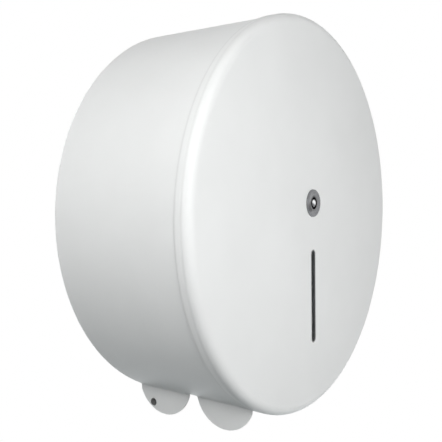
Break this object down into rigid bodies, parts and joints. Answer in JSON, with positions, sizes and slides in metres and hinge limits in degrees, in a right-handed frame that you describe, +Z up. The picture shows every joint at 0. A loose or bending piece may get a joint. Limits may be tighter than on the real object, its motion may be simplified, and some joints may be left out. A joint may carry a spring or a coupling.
{
  "type": "jumbo toilet roll dispenser",
  "caption": "Round wall dispenser for one jumbo toilet roll: white steel drum hinged at its foot, spindle hub, open lobed paper exit, view slot and quarter-turn lock.",
  "frame": {"origin": "centre of the wall plate's four fixing slots, on its flat back face, which is the drum's centre line", "axes": "+Z up along the wall, +Y into the wall, -Y out through the drum's front, +X to the right as seen by the user"},
  "size_m": [0.31, 0.1218, 0.3111],
  "materials": {
    "white_enamel": "semi-gloss powder coat with fine orange peel",
    "zinc_steel": "bright zinc plate",
    "pin_steel": "dark phosphated steel",
    "nylon": "natural nylon",
    "hub_plastic": "fine-grained moulded ABS",
    "lock_chrome": "polished chrome plate"
  },
  "bodies": {
    "root": {"back_plate": "white_enamel", "spindle_flange": "zinc_steel", "spindle_post": "zinc_steel", "spindle_end_plug": "zinc_steel", "spindle_rivets": "zinc_steel", "hub_washer": "zinc_steel", "lock_keeper": "zinc_steel", "keeper_screw": "zinc_steel", "hinge_pin_left": "pin_steel", "hinge_pin_right": "pin_steel", "hinge_washers": "nylon"},
    "hub": {"roll_hub": "hub_plastic"},
    "cover": {"drum_band": "white_enamel", "front_panel": "white_enamel", "lock_barrel": "lock_chrome", "lock_washer": "zinc_steel", "lock_nut": "zinc_steel"},
    "lock": {"lock_plug": "lock_chrome", "lock_stop_washer": "zinc_steel", "lock_cam": "zinc_steel", "cam_screw": "zinc_steel"}
  },
  "joints": [
    {"name": "cover_hinge", "type": "hinge", "parent": "root", "child": "cover", "pos_m": [0, -0.0135, -0.14838], "axis": [1, 0, 0], "range_deg": [0, 90]},
    {"name": "lock_turn", "type": "hinge", "parent": "cover", "child": "lock", "pos_m": [0, -0.12, 0.0095], "axis": [0, 1, 0], "range_deg": [0, 90]},
    {"name": "hub_spin", "type": "hinge", "parent": "root", "child": "hub", "pos_m": [0, -0.05, 0.0095], "axis": [0, 1, 0], "continuous": true}
  ]
}
